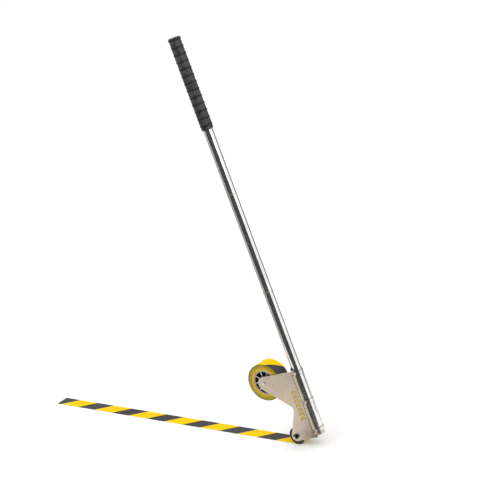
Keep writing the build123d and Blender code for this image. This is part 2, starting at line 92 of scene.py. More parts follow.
def half_size(node, axis):
    low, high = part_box(node)
    return (high[axis] - low[axis]) / 2


print("lean", round(lean, 4), "pole offset", round(pole_offset, 4))

# %% [markdown]
# ## The camera
#
# A long lens from a few metres away keeps the pole nearly parallel-sided, as in a catalogue picture. The
# camera is placed by its angle round the object, its height, its distance, and the point it looks at, and
# then rolled a little, because the picture isn't level. Those five values say the view in plain words.

# %% Camera
CAMERA_AZIMUTH = radians(35.6)
CAMERA_ELEVATION = radians(18.26)
CAMERA_ROLL = radians(-7.07)
CAMERA_DISTANCE = 5.549
CAMERA_AIM = Vector((-0.1415, -0.0002, 0.6483))
SENSOR_WIDTH = 36
LENS = 137.3

towards_camera = Vector((
    sin(CAMERA_AZIMUTH) * cos(CAMERA_ELEVATION),
    -cos(CAMERA_AZIMUTH) * cos(CAMERA_ELEVATION),
    sin(CAMERA_ELEVATION),
))
camera_data = bpy.data.cameras.new("catalogue_camera")
camera_data.sensor_width = SENSOR_WIDTH
camera_data.lens = LENS
camera = bpy.data.objects.new("catalogue_camera", camera_data)
bpy.context.scene.collection.objects.link(camera)
camera.rotation_mode = "QUATERNION"
camera.location = CAMERA_AIM + towards_camera * CAMERA_DISTANCE
level = (-towards_camera).to_track_quat("-Z", "Y")
camera.rotation_quaternion = level @ Matrix.Rotation(CAMERA_ROLL, 4, "Z").to_quaternion()
bpy.context.scene.camera = camera
print("camera at", [round(value, 3) for value in camera.location])

# %% [markdown]
# ## Helpers for finishes
#
# A finish is a node tree: coordinates go in, noise makes a pattern, and the pattern drives colour,
# roughness and bump. Two small functions keep each recipe short. One adds a node and sets or links its
# inputs in a single call, and the other starts a material from the values that are the same all over.

# %% Node helpers


def node(material, kind, inputs=None, **options):
    """Adds a shader node, sets its options, and sets or links each named input."""
    made = material.node_tree.nodes.new("ShaderNode" + kind)
    for option, value in options.items():
        setattr(made, option, value)
    for socket, value in (inputs or {}).items():
        if isinstance(value, bpy.types.NodeSocket):
            material.node_tree.links.new(value, made.inputs[socket])
        else:
            made.inputs[socket].default_value = value
    return made


def start_finish(name, metallic=0.0, **sockets):
    """A new material whose shader has these values all over."""
    material = bpy.data.materials.new(name)
    material.use_nodes = True
    shader = material.node_tree.nodes["Principled BSDF"]
    shader.inputs["Metallic"].default_value = metallic
    for socket, value in sockets.items():
        shader.inputs[socket.replace("_", " ")].default_value = value
    return material


def paint(material, socket, value):
    """Links a pattern to one of the shader's sockets."""
    shader = material.node_tree.nodes["Principled BSDF"]
    material.node_tree.links.new(value, shader.inputs[socket])


def object_place(material):
    return node(material, "TexCoord").outputs["Object"]


def noise(material, place, scale, detail=4.0, rough=0.55, **more):
    """Soft random cloud from 0 to 1. The scale is about how many blobs there are in a metre."""
    made = node(material, "TexNoise", {
        "Vector": place, "Scale": scale, "Detail": detail, "Roughness": rough, **more,
    })
    return made.outputs["Fac"]


def fade(material, factor, *stops):
    """Turns a value into a colour through stops, each (place, colour)."""
    ramp_node = node(material, "ValToRGB", {"Fac": factor})
    ramp = ramp_node.color_ramp
    for index, (place, colour) in enumerate(stops):
        stop = ramp.elements[index] if index < len(ramp.elements) else ramp.elements.new(place)
        stop.position = place
        stop.color = (*colour, 1)
    return ramp_node.outputs["Color"]


def spread(material, factor, low, high, from_low=0.3, from_high=0.7):
    """Maps the middle of a noise onto a range, such as a range of roughness."""
    made = node(material, "MapRange", {
        "Value": factor, "From Min": from_low, "From Max": from_high, "To Min": low, "To Max": high,
    })
    return made.outputs["Result"]


def mix(material, factor, first, second, mode="MIX"):
    """Blends two colours."""
    made = node(material, "Mix", data_type="RGBA", blend_type=mode)
    links = material.node_tree.links
    for index, value in ((0, factor), (6, first), (7, second)):
        if isinstance(value, bpy.types.NodeSocket):
            links.new(value, made.inputs[index])
        elif index:
            made.inputs[index].default_value = (*value, 1)
        else:
            made.inputs[index].default_value = value
    return made.outputs[2]


def arithmetic(material, operation, *values):
    made = node(material, "Math", operation=operation)
    for index, value in enumerate(values):
        if isinstance(value, bpy.types.NodeSocket):
            material.node_tree.links.new(value, made.inputs[index])
        else:
            made.inputs[index].default_value = value
    return made.outputs["Value"]


def emboss(material, height, depth):
    """Adds bump to the shader: height from 0 to 1 stands for depth metres."""
    bump = node(material, "Bump", {"Height": height, "Strength": 1.0, "Distance": depth})
    paint(material, "Normal", bump.outputs["Normal"])


print("helpers ready")

# %% [markdown]
# ## Coordinates that follow how a piece was made
#
# A lathe leaves fine rings round its axis, and polishing leaves fine lines along a tube. To draw them, the
# pattern needs coordinates in the piece's own axes: the distance from the axle for a turned piece, and
# leaning coordinates for anything on the pole. A Mapping node of the Texture kind does that change of axes.

# %% Coordinates for turned and leaning pieces


def turned_place(material, centre):
    """Distance from an axle along Y, the place along it, and the place measured from its centre."""
    inputs = {"Vector": object_place(material), "Location": centre}
    local = node(material, "Mapping", inputs, vector_type="TEXTURE")
    parts = node(material, "SeparateXYZ", {"Vector": local.outputs["Vector"]}).outputs
    face_on = node(material, "CombineXYZ", {"X": parts["X"], "Y": parts["Z"]}).outputs["Vector"]
    radius = node(material, "VectorMath", {0: face_on}, operation="LENGTH").outputs["Value"]
    return radius, parts["Y"], local.outputs["Vector"]


def leaning_place(material):
    """Coordinates across, beside and up the pole, measured from its centre line."""
    local = node(
        material, "Mapping",
        {"Vector": object_place(material), "Location": pole_foot, "Rotation": (0, -lean, 0)},
        vector_type="TEXTURE",
    )
    return local.outputs["Vector"]


def stretched(material, place, across, along):
    """Scales a leaning place, so that a noise on it becomes lines up the pole."""
    return node(material, "Mapping", {"Vector": place, "Scale": (across, across, along)}).outputs["Vector"]


def edge_wear_and_highlight(material, radius=0.0007):
    """Close to 1 along sharp edges and 0 elsewhere: edge wear where handling rubs a finish bright, and a painted
    edge highlight.
    """
    rounded = node(material, "Bevel", {"Radius": radius}, samples=4).outputs["Normal"]
    sharp = node(material, "NewGeometry").outputs["Normal"]
    agree = node(material, "VectorMath", {0: rounded, 1: sharp}, operation="DOT_PRODUCT").outputs["Value"]
    return spread(material, agree, 1.0, 0.0, from_low=0.8, from_high=0.99)


def paint_recess_shade(material, colour, dark, distance, closed, opened):
    """Turns a colour dark where the surface around it stands closer than distance: painted shade in grooves and
    hollows.
    """
    seen_sky = node(material, "AmbientOcclusion", {"Distance": distance}, samples=6).outputs["AO"]
    return mix(material, spread(material, seen_sky, 0.0, 1.0, closed, opened), dark, colour)


print("coordinates ready")

# %% [markdown]
# ## Steel plate
#
# The side plates are laser-cut stainless sheet, blasted with fine beads. Blasting leaves a soft satin with
# no direction, a warm grey that turns cloudy where hands and rags have been. Three sizes of noise make it:
# clouds for the colour, a middle size for the roughness, and a fine grain for the bump.

# %% Blasted plate finish


def blasted_plate():
    material = start_finish("blasted_plate", metallic=1.0)
    place = object_place(material)
    clouds = noise(material, place, 34, detail=5, Distortion=0.6)
    stains = noise(material, place, 11, detail=3)
    warm = fade(material, clouds, (0.36, (0.60, 0.50, 0.385)), (0.64, (0.73, 0.63, 0.51)))
    stained = mix(material, spread(material, stains, 0.0, 0.4, 0.45, 0.75), warm, (0.50, 0.40, 0.29))
    # Sharp edges turn paler: edge wear and a painted edge highlight.
    edge_wear_highlight_and_rib_shade = arithmetic(material, "MULTIPLY", edge_wear_and_highlight(material), 0.6)
    worn_and_highlit = mix(material, edge_wear_highlight_and_rib_shade, stained, (0.78, 0.76, 0.71))
    paint(material, "Base Color", worn_and_highlit)
    paint(material, "Roughness", spread(material, clouds, 0.34, 0.46))
    emboss(material, noise(material, place, 2600, detail=2), 0.00006)
    return material


plate_finish = blasted_plate()
print("made", plate_finish.name)

# %% [markdown]
# ## Polished tube
#
# The pole is welded stainless tube with a mirror polish. It has hardly any colour of its own: what it shows
# is the room. A very low roughness keeps the reflections crisp, and noise stretched along the tube breaks
# them up into the fine lines that a polishing belt leaves.

# %% Polished finish for tubes and rings
GROOVE_REACH = 0.004


def polished_tube(name, colour, smooth, dull):
    material = start_finish(name, metallic=1.0)
    place = leaning_place(material)
    lines = noise(material, stretched(material, place, 1.0, 0.02), 1500, detail=3)
    smears = noise(material, place, 26, detail=4)
    tint = [value * 0.86 for value in colour]
    plain = fade(material, smears, (0.35, tint), (0.6, colour))
    # Grooves, and the gaps at straps and rings, are darkened: painted shade.
    groove_shaded = paint_recess_shade(material, plain, (0.06, 0.055, 0.05), GROOVE_REACH, 0.55, 0.92)
    paint(material, "Base Color", groove_shaded)
    paint(material, "Roughness", spread(material, smears, smooth, dull))
    emboss(material, lines, 0.000006)
    return material


tube_finish = polished_tube("polished_tube", (0.90, 0.89, 0.87), 0.06, 0.14)
ring_finish = polished_tube("brushed_ring", (0.80, 0.75, 0.67), 0.28, 0.38)
plug_finish = polished_tube("satin_plug", (0.66, 0.58, 0.47), 0.34, 0.46)
strap_finish = polished_tube("polished_strap", (0.84, 0.81, 0.76), 0.12, 0.22)
print("made", tube_finish.name, ring_finish.name, plug_finish.name, strap_finish.name)

# %% [markdown]
# ## Fasteners and turned steel
#
# Screws and nuts are bright zinc: a pale grey with faint crystal clouds. Axles, sleeves and washers come
# from a lathe, so their finish is a function of the distance from their own axle, and each of them gets a
# material that knows its centre. The nut on the press roller's axle is blackened in hot oil. Its end and
# edges, like the zinc's edges, turn paler: partly wear back to bare steel, partly a painted edge highlight.

# %% Zinc, turned steel, bronze and black oxide


def zinc():
    material = start_finish("bright_zinc", metallic=1.0)
    place = object_place(material)
    crystals = node(material, "TexVoronoi", {"Vector": place, "Scale": 900.0}).outputs["Distance"]
    clouds = noise(material, place, 240, detail=3)
    plain = fade(material, clouds, (0.35, (0.66, 0.66, 0.65)), (0.65, (0.86, 0.86, 0.85)))
    # Sharp edges turn paler: edge wear and a painted edge highlight.
    paint(material, "Base Color", mix(material, edge_wear_and_highlight(material, 0.0004), plain, (0.93, 0.93, 0.92)))
    paint(material, "Roughness", spread(material, clouds, 0.2, 0.36))
    emboss(material, crystals, 0.00002)
    return material


def turned(name, centre, colour, shade, rough=0.24, ring_scale=2200):
    """Fine rings from a lathe tool, about an axle along Y."""
    material = start_finish(name, metallic=1.0)
    radius, along, place = turned_place(material, centre)
    rings = node(material, "CombineXYZ", {"X": radius, "Y": along}).outputs["Vector"]
    lines = noise(material, rings, ring_scale, detail=2)
    clouds = noise(material, place, 90, detail=3)
    paint(material, "Base Color", fade(material, clouds, (0.35, shade), (0.65, colour)))
    paint(material, "Roughness", spread(material, lines, rough, rough + 0.14))
    emboss(material, lines, 0.00001)
    return material


def black_oxide(centre):
    material = start_finish("black_oxide_steel", metallic=1.0)
    _, _, place = turned_place(material, centre)
    clouds = noise(material, place, 260, detail=4)
    dark = fade(material, clouds, (0.35, (0.018, 0.018, 0.022)), (0.7, (0.05, 0.05, 0.06)))
    # Sharp edges turn paler: edge wear back to bare steel and a painted edge highlight.
    paint(material, "Base Color", mix(material, edge_wear_and_highlight(material, 0.0006), dark, (0.30, 0.30, 0.31)))
    paint(material, "Roughness", spread(material, clouds, 0.28, 0.45))
    emboss(material, clouds, 0.00002)
    return material


STEEL, STEEL_SHADE = (0.78, 0.77, 0.75), (0.62, 0.61, 0.59)
BRONZE, BRONZE_SHADE = (0.62, 0.40, 0.20), (0.42, 0.25, 0.11)
zinc_finish = zinc()
turned_reel = turned("turned_reel_parts", reel_centre, STEEL, STEEL_SHADE)
turned_guide = turned("turned_guide_parts", guide_centre, STEEL, STEEL_SHADE, rough=0.16)
turned_press = turned("turned_press_parts", press_centre, STEEL, STEEL_SHADE)
bronze_finishes = {
    "reel_bushes": turned("bronze_reel", reel_centre, BRONZE, BRONZE_SHADE, rough=0.36),
    "guide_bushes": turned("bronze_guide", guide_centre, BRONZE, BRONZE_SHADE, rough=0.36),
    "roller_bushes": turned("bronze_press", press_centre, BRONZE, BRONZE_SHADE, rough=0.36),
}
black_finish = black_oxide(press_centre)
print("made", zinc_finish.name, turned_reel.name, black_finish.name, "and", len(bronze_finishes), "bronzes")

# %% [markdown]
# ## Rubber
#
# The grip and the roller's tyre are both black rubber, but their finishes differ. The grip's raised ribs
# are coloured near black and the grooves beside them are darkened, both painted shade that draws a dark
# line at each rib. The tyre is ground true on a lathe and then picks up floor dust, so it has rings and
# pale specks.

# %% Grip and tyre rubber


def grip_rubber(body_radius, rib_radius):
    material = start_finish("grip_rubber", Specular_IOR_Level=0.3)
    place = leaning_place(material)
    across = node(material, "VectorMath", {0: place, 1: (1, 1, 0)}, operation="MULTIPLY").outputs["Vector"]
    radius = node(material, "VectorMath", {0: across}, operation="LENGTH").outputs["Value"]
    raised = spread(material, radius, 0.0, 1.0, body_radius, rib_radius)
    pebbles = noise(material, place, 1100, detail=2)
    clouds = noise(material, place, 70, detail=4)
    base = fade(material, clouds, (0.35, (0.022, 0.022, 0.022)), (0.7, (0.062, 0.062, 0.063)))
    # The raised ribs are painted near black and the grooves beside them darkened: painted shade lines at each rib.
    edge_wear_highlight_and_rib_shade = mix(material, raised, base, (0.004, 0.004, 0.004))
    lined = paint_recess_shade(material, edge_wear_highlight_and_rib_shade, (0.003, 0.003, 0.003), GROOVE_REACH, 0.6, 0.92)
    paint(material, "Base Color", lined)
    paint(material, "Roughness", spread(material, clouds, 0.3, 0.42))
    emboss(material, pebbles, 0.00012)
    return material


def tyre_rubber():
    material = start_finish("tyre_rubber", Specular_IOR_Level=0.4)
    radius, along, place = turned_place(material, press_centre)
    rings = node(material, "CombineXYZ", {"X": radius, "Y": along}).outputs["Vector"]
    lines = noise(material, rings, 1300, detail=2)
    dust = noise(material, place, 420, detail=5)
    black = fade(material, dust, (0.5, (0.014, 0.014, 0.018)), (0.8, (0.10, 0.10, 0.10)))
    paint(material, "Base Color", black)
    paint(material, "Roughness", spread(material, dust, 0.5, 0.7))
    emboss(material, lines, 0.00008)
    return material


print("rubber ready")

# %% [markdown]
# ## Moulded plastic, felt and card
#
# The reel's hub is pale moulded plastic with a fine spark-eroded texture and a few scuffs, and the press
# roller's core is the same in black. The brake's felt is a mat of fibres, and the tape's core is wound
# card, whose plies show as rings at its ends.

# %% Plastic, felt and card
RECESS_DEPTH = 0.03


def moulded(name, colour, shade, centre):
    material = start_finish(name, Specular_IOR_Level=0.5)
    _, _, place = turned_place(material, centre)
    texture = noise(material, place, 1900, detail=2)
    scuffs = noise(material, place, 130, detail=6, rough=0.7)
    plain = fade(material, scuffs, (0.35, shade), (0.62, colour))
    # Sharp edges turn paler: edge wear and a painted edge highlight.
    worn_and_highlit = [min(1.0, value * 1.25 + 0.02) for value in colour]
    worn_and_highlit_edges = mix(material, edge_wear_and_highlight(material, 0.0005), plain, worn_and_highlit)
    # Hollows such as the hub's windows are darkened: painted shade.
    recess_shade_colour = [value * 0.06 for value in shade]
    shaded = paint_recess_shade(material, worn_and_highlit_edges, recess_shade_colour, RECESS_DEPTH, 0.4, 0.9)
    paint(material, "Base Color", shaded)
    paint(material, "Roughness", spread(material, scuffs, 0.36, 0.56))
    emboss(material, texture, 0.00005)
    return material


def felt():
    material = start_finish("pressed_felt", Roughness=0.95, Sheen_Weight=0.5)
    place = object_place(material)
    fibres = noise(material, place, 1400, detail=6, rough=0.75, Distortion=2.5)
    grey = fade(material, fibres, (0.3, (0.10, 0.10, 0.11)), (0.7, (0.26, 0.26, 0.27)))
    paint(material, "Base Color", grey)
    emboss(material, fibres, 0.0004)
    return material


def wound_card():
    material = start_finish("wound_card", Roughness=0.9)
    radius, _, place = turned_place(material, reel_centre)
    plies = node(material, "CombineXYZ", {"X": radius}).outputs["Vector"]
    rings = noise(material, plies, 1800, detail=1)
    fibres = noise(material, place, 700, detail=5, rough=0.7)
    brown = fade(material, fibres, (0.3, (0.30, 0.20, 0.115)), (0.7, (0.46, 0.33, 0.20)))
    paint(material, "Base Color", mix(material, spread(material, rings, 0.0, 0.5), brown, (0.22, 0.14, 0.08)))
    emboss(material, rings, 0.00015)
    return material


hub_finish = moulded("pale_hub_plastic", (0.56, 0.56, 0.56), (0.42, 0.42, 0.43), reel_centre)
core_finish = moulded("black_core_plastic", (0.05, 0.05, 0.055), (0.025, 0.025, 0.03), press_centre)
felt_finish = felt()
card_finish = wound_card()
print("made", hub_finish.name, core_finish.name, felt_finish.name, card_finish.name)

# %% [markdown]
# ## Striped tape
#
# The tape is yellow vinyl film with slanting dark grey bars printed on it. The print repeats along the
# tape's length, so the finish reads two coordinates that the mesh carries as a UV map: metres along the
# print and metres across the tape. A remainder of the first, sheared by the second, gives slanting bars
# that run on without a break from the roll, over the rollers and along the floor.

# %% Tape film
STRIPE_PITCH = 0.14355
STRIPE_START = -0.0128
STRIPE_SLANT = 0.93
YELLOW_SHARE = 0.514
STRIPE_BLUR = 0.004
TAPE_YELLOW, TAPE_DEEP_YELLOW = (0.92, 0.60, 0.0), (0.84, 0.52, 0.0)
TAPE_DARK, TAPE_GREY = (0.046, 0.046, 0.050), (0.076, 0.076, 0.082)


def tape_film():
    material = start_finish("striped_film", Specular_IOR_Level=0.03)
    print_place = node(material, "UVMap", uv_map="print").outputs["UV"]
    parts = node(material, "SeparateXYZ", {"Vector": print_place}).outputs
    sheared = arithmetic(material, "MULTIPLY_ADD", parts["Y"], STRIPE_SLANT, parts["X"])
    from_start = arithmetic(material, "SUBTRACT", sheared, STRIPE_START)
    turn = arithmetic(material, "FRACT", arithmetic(material, "DIVIDE", from_start, STRIPE_PITCH))
    scuffs = noise(material, print_place, 75, detail=6, rough=0.65)
    grain = noise(material, print_place, 900, detail=2)
    yellow = fade(material, scuffs, (0.35, TAPE_DEEP_YELLOW), (0.6, TAPE_YELLOW))
    dark = fade(material, scuffs, (0.35, TAPE_DARK), (0.65, TAPE_GREY))
    leaving = spread(material, turn, 0.0, 1.0, YELLOW_SHARE - STRIPE_BLUR, YELLOW_SHARE + STRIPE_BLUR)
    entering = spread(material, turn, 1.0, 0.0, 0.0, STRIPE_BLUR)
    bars = arithmetic(material, "MAXIMUM", leaving, entering)
    paint(material, "Base Color", mix(material, bars, yellow, dark))
    paint(material, "Roughness", spread(material, scuffs, 0.38, 0.52))
    emboss(material, grain, 0.00002)
    return material


def sticky_side():
    """The glue side of the tape: pale, a little cloudy and shiny."""
    material = start_finish("tape_glue_side", Roughness=0.3, Coat_Weight=0.3)
    print_place = node(material, "UVMap", uv_map="print").outputs["UV"]
    streaks = noise(material, print_place, 260, detail=5)
    pale = fade(material, streaks, (0.35, (0.62, 0.50, 0.16)), (0.7, (0.76, 0.66, 0.30)))
    paint(material, "Base Color", pale)
    emboss(material, streaks, 0.00003)
    return material


def wound_edges(core_radius, roll_radius):
    """The side of the roll: hundreds of film edges, olive yellow, lighter near the core as a painted highlight,
    with a darker outer rim of painted shade.
    """
    material = start_finish("wound_tape_edges", Specular_IOR_Level=0.2)
    radius, _, place = turned_place(material, (0, 0, 0))
    layers = node(material, "CombineXYZ", {"X": radius}).outputs["Vector"]
    fine = noise(material, layers, 2400, detail=2)
    broad = noise(material, layers, 260, detail=3)
    patches = noise(material, place, 110, detail=5, rough=0.7)
    edges = fade(
        material, fine, (0.3, (0.09, 0.065, 0.006)), (0.5, (0.26, 0.185, 0.012)), (0.72, (0.40, 0.285, 0.016))
    )
    bands = mix(material, spread(material, broad, 0.0, 0.65, 0.38, 0.62), edges, (0.56, 0.39, 0.004))
    dusty = mix(material, spread(material, patches, 0.0, 0.7, 0.4, 0.62), bands, (0.16, 0.12, 0.03))
    depth = roll_radius - core_radius
    # Paler yellow near the core: a painted highlight on the inner windings.
    inner = spread(material, radius, 0.8, 0.0, core_radius + 0.1 * depth, core_radius + 0.5 * depth)
    lit_inner = mix(material, inner, dusty, (0.62, 0.42, 0.006))
    # A darker outer rim: painted shade.
    rim = spread(material, radius, 0.0, 0.75, roll_radius - 0.2 * depth, roll_radius)
    paint(material, "Base Color", mix(material, rim, lit_inner, (0.085, 0.065, 0.012)))
    paint(material, "Roughness", spread(material, fine, 0.4, 0.6))
    emboss(material, fine, 0.0003)
    return material


film_finish = tape_film()
glue_finish = sticky_side()
print("stripes repeat every", STRIPE_PITCH, "m")

# %% [markdown]
# ## The tape's path
#
# The tape leaves the underside of the reel, passes over the guide roller, turns round the front of the
# press roller and is pressed down on the floor. Each straight run touches two circles, so where it leaves
# one and meets the next follows from their centres and radii. The path is arcs joined by those straight
# runs, which is what a belt does round its pulleys.

# %% Work out the path
tape_low, tape_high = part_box("laid_tape")
TAPE_THICKNESS = tape_high.z - tape_low.z
TAPE_HALF_WIDTH = (tape_high.y - tape_low.y) / 2
roll_radius = half_size("tape_roll", 0)
guide_radius = half_size("guide_roller_sleeve", 0)
press_radius = half_size("roller_tyre", 0)
running_gap = press_centre.z - press_radius - TAPE_THICKNESS
middle = running_gap + TAPE_THICKNESS / 2
REEL_WRAP = radians(24)
ARC_STEP = radians(3)
RUN_STEP = 0.01


def flat(place):
    return Vector((place.x, place.z))


def tangent_turn(first, second, first_radius, second_radius, crossing):
    """The angle at which a tight run between two circles leaves the first one."""
    line = flat(second) - flat(first)
    reach = first_radius + second_radius if crossing else second_radius - first_radius
    return atan2(line.y, line.x) + asin(reach / line.length)


def arc(centre, radius, start, end):
    count = max(2, ceil(abs(end - start) / ARC_STEP))
    turns = [start + (end - start) * index / count for index in range(count + 1)]
    return [flat(centre) + radius * Vector((cos(turn), sin(turn))) for turn in turns]


def run(start, end):
    """Places between two points, without the points themselves."""
    count = max(2, ceil((end - start).length / RUN_STEP))
    return [start.lerp(end, index / count) for index in range(1, count)]


reel_wind = roll_radius + middle
guide_wind = guide_radius + middle
press_wind = press_radius + middle
leave = tangent_turn(reel_centre, guide_centre, reel_wind, guide_wind, crossing=True) - pi / 2
meet = tangent_turn(guide_centre, press_centre, guide_wind, press_wind, crossing=False) + pi / 2
on_reel = arc(reel_centre, reel_wind, leave - REEL_WRAP, leave)
on_guide = arc(guide_centre, guide_wind, leave + pi, meet)
on_press = arc(press_centre, press_wind, meet, -pi / 2)
floor_end = Vector((tape_low.x, TAPE_THICKNESS / 2))
path = on_reel + run(on_reel[-1], on_guide[0]) + on_guide + run(on_guide[-1], on_press[0]) + on_press
touch_down = len(path) - 1
path += run(path[-1], floor_end) + [floor_end]
distances = [0.0]
for before, after in zip(path, path[1:]):
    distances.append(distances[-1] + (after - before).length)

# %% [markdown]
# ## The tape as one ribbon
#
# One closed ribbon a quarter of a millimetre thick replaces both CAD solids, the moving web and the strip
# on the floor, so the film has no joint where it meets the floor. The same loop writes the print's
# coordinates, which are simply metres along the tape, counted from the line where it touches down.

# %% Make the ribbon


def print_metres(distance):
    """Metres along the print at a distance along the path, counted from where the tape touches down."""
    return distance - distances[touch_down]


def add_layer_coordinates(mesh, coordinates):
    """Writes the print's UV map: coordinates gives a pair for each vertex index."""
    layer = mesh.uv_layers.new(name="print")
    for loop in mesh.loops:
        layer.data[loop.index].uv = coordinates[loop.vertex_index]


def make_object(name, mesh, finishes, body, slot, *replaced):
    """An object that wears the finishes, rides a body and may stand for CAD nodes."""
    made = bpy.data.objects.new(name, mesh)
    bpy.context.scene.collection.objects.link(made)
    for finish in finishes:
        mesh.materials.append(finish)
    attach(made, body)
    if replaced:
        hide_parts(*replaced)
    return made


def make_ribbon():
    """A closed strip along the path, with four vertices at each of its places."""
    vertices, faces, coordinates = [], [], []
    for index, place in enumerate(path):
        before = path[max(index - 1, 0)]
        after = path[min(index + 1, len(path) - 1)]
        heading = (after - before).normalized()
        printed_side = Vector((heading.y, -heading.x)) * TAPE_THICKNESS / 2
        for side in (1, -1):
            for across in (-TAPE_HALF_WIDTH, TAPE_HALF_WIDTH):
                corner = place + side * printed_side
                vertices.append((corner.x, across, corner.y))
                coordinates.append((print_metres(distances[index]), across))
    for index in range(len(path) - 1):
        near, far = 4 * index, 4 * index + 4
        faces.append((near, near + 1, far + 1, far))
        faces.append((near + 2, far + 2, far + 3, near + 3))
        faces.append((near, far, far + 2, near + 2))
        faces.append((near + 1, near + 3, far + 3, far + 1))
    last = 4 * (len(path) - 1)
    faces.append((0, 2, 3, 1))
    faces.append((last, last + 1, last + 3, last + 2))
    mesh = bpy.data.meshes.new("tape_ribbon")
    mesh.from_pydata(vertices, [], faces)
    add_layer_coordinates(mesh, coordinates)
    for face in mesh.polygons:
        printed = all(vertex % 4 < 2 for vertex in face.vertices)
        face.material_index = 0 if printed else 1
    shape = bmesh.new()
    shape.from_mesh(mesh)
    bmesh.ops.recalc_face_normals(shape, faces=shape.faces)
    shape.to_mesh(mesh)
    shape.free()
    mesh.set_sharp_from_angle(angle=radians(30))
    return mesh


tape_finishes = (film_finish, glue_finish)
replaced_tape = ("tape_web", "laid_tape")
ribbon = make_object(
    "tape_ribbon", make_ribbon(), tape_finishes, "pole_and_plates", "tape_film", *replaced_tape
)
print("ribbon has", len(ribbon.data.polygons), "faces")

# %% [markdown]
# ## Turning a profile
#
# The roll of tape and the grip are both round, so both are a profile turned about an axis. The helper takes
# a closed list of points, each a radius and a height, and joins them round in steps. It works in the piece's
# own axes, and a matrix then puts the piece in its place, so the same helper serves a roll that lies on its
# side and a grip that leans.

# %% A lathe


def lathe(name, profile, steps):
    """A ring-shaped mesh: the closed profile of (radius, height) turned about Z."""
    vertices, faces = [], []
    for step in range(steps):
        turn = 2 * pi * step / steps
        vertices += [(radius * cos(turn), radius * sin(turn), height) for radius, height in profile]
    count = len(profile)
    for step in range(steps):
        this, following = step * count, (step + 1) % steps * count
        for index in range(count):
            after = (index + 1) % count
            faces.append((this + index, following + index, following + after, this + after))
    mesh = bpy.data.meshes.new(name)
    mesh.from_pydata(vertices, [], faces)
    shape = bmesh.new()
    shape.from_mesh(mesh)
    bmesh.ops.recalc_face_normals(shape, faces=shape.faces)
    shape.to_mesh(mesh)
    shape.free()
    mesh.polygons.foreach_set("use_smooth", [True] * len(mesh.polygons))
    mesh.set_sharp_from_angle(angle=radians(40))
    return mesh


print("lathe ready")

# %% [markdown]
# ## The roll of tape
#
# A wound roll is never quite flat at its sides, because each turn of film sits a hair to one side of the
# last. The profile steps in and out by a tenth of a millimetre in small rings, which catches light as the
# real windings do. The tread carries the print's coordinates, counted back round the roll from the line
# where the tape leaves it.

# %% Wind the roll
ROLL_RINGS = 22
RING_STEP = 0.00012
RING_WANDER = 2.4
ROLL_STEPS = 192
TREAD_MARGIN = 0.0001
core_radius = half_size("tape_core", 0)


def roll_profile():
    """Points down the tread, along the stepped side, up the bore and back along the other side."""
    depth = roll_radius - core_radius
    rings = [core_radius + depth * index / ROLL_RINGS for index in range(ROLL_RINGS + 1)]
    side = []
    for index in range(ROLL_RINGS):
        inset = RING_STEP * (1 + sin(index * RING_WANDER) + (index % 2)) / 2
        side += [(rings[index], TAPE_HALF_WIDTH - inset), (rings[index + 1], TAPE_HALF_WIDTH - inset)]
    mirrored = [(radius, -height) for radius, height in reversed(side)]
    return side + mirrored


def make_roll():
    """The roll lies on its side, and its tread carries the print."""
    mesh = lathe("wound_tape_roll", roll_profile(), ROLL_STEPS)
    lying = Matrix.Rotation(pi / 2, 4, "X")
    mesh.transform(lying)
    layer = mesh.uv_layers.new(name="print")
    print_at_leave = print_metres(distances[len(on_reel) - 1])
    rim = roll_radius - TREAD_MARGIN
    for face in mesh.polygons:
        at_rim = all(mesh.vertices[vertex].co.xz.length > rim for vertex in face.vertices)
        tread = at_rim and abs(face.normal.y) < 0.5
        face.material_index = 1 if tread else 0
        middle_turn = atan2(face.center.z, face.center.x)
        back = (leave - middle_turn) % (2 * pi)
        for loop_index in face.loop_indices:
            place = mesh.vertices[mesh.loops[loop_index].vertex_index].co
            turn = atan2(place.z, place.x) - middle_turn
            turn = (turn + pi) % (2 * pi) - pi
            layer.data[loop_index].uv = (print_at_leave - (back - turn) * roll_radius, place.y)
    return mesh


roll_mesh = make_roll()
roll_finishes = (wound_edges(core_radius, roll_radius), film_finish)
roll = bpy.data.objects.new("wound_tape_roll", roll_mesh)
bpy.context.scene.collection.objects.link(roll)
roll.location = reel_centre
for finish in roll_finishes:
    roll_mesh.materials.append(finish)
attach(roll, "tape_reel")
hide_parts("tape_roll")
print("roll radius", round(roll_radius, 4), "with", ROLL_RINGS, "rings a side")

# %% [markdown]
# ## The rubber grip
#
# The grip is a moulded sleeve with a row of narrow raised ribs, a plain collar at its mouth and a rounded
# flange at its closed top. Each rib is a small half-round bead. The sleeve between two ribs swells very
# slightly, so that it catches a soft highlight, as soft rubber pulled over a tube does.

# %% Turn the grip
RIB_COUNT = 12
RIB_HALF_WIDTH = 0.0022
RIB_POINTS = 8
SWELL = 0.0003
COLLAR = 0.011
FLANGE_STEP = 0.0017
FLANGE_HEIGHT = 0.0105
MOUTH_ROUND = 0.0012
DIMPLE_SHARE, DIMPLE_FLOOR_SHARE = 0.3, 0.24
AXIS_GAP = 0.00001
RIB_HEIGHT = 0.0017
GRIP_STEPS = 96
grip_low, grip_high = pole_box("handle_grip")
tube_radius = half_size("pole_tube_upper", 1)
grip_radius = (grip_high.y - grip_low.y) / 2 - FLANGE_STEP
bore_top = pole_box("pole_tube_upper")[1].z


def bead(height):
    """A half-round rib, from its lower edge to its upper one."""
    points = []
    for index in range(RIB_POINTS + 1):
        turn = pi * index / RIB_POINTS
        points.append((grip_radius + RIB_HEIGHT * sin(turn), height - RIB_HALF_WIDTH * cos(turn)))
    return points


